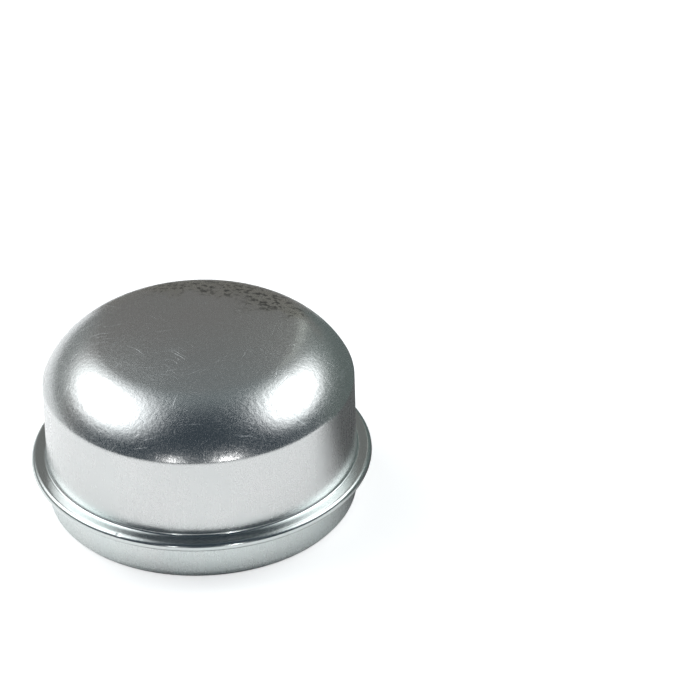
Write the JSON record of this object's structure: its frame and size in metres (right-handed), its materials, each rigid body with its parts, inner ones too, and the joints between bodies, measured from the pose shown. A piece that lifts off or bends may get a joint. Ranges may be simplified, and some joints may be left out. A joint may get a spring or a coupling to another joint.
{
  "type": "hub grease cap",
  "caption": "Domed sheet steel cap with a folded stop collar and a press-fit skirt, closing a wheel hub's outer bearing bore.",
  "frame": {"origin": "centre of the cut rim's plane, on the cap's axis", "axes": "+Z along the cap's axis from the open mouth to the crown of the dome; X and Y are alike, because the cap is turned about Z"},
  "size_m": [0.0684, 0.0684, 0.0382],
  "materials": {
    "zinc_plate": "bright zinc plate with a faint blue-green passivation, satin"
  },
  "bodies": {
    "root": {"cap_shell": "zinc_plate"}
  },
  "joints": []
}
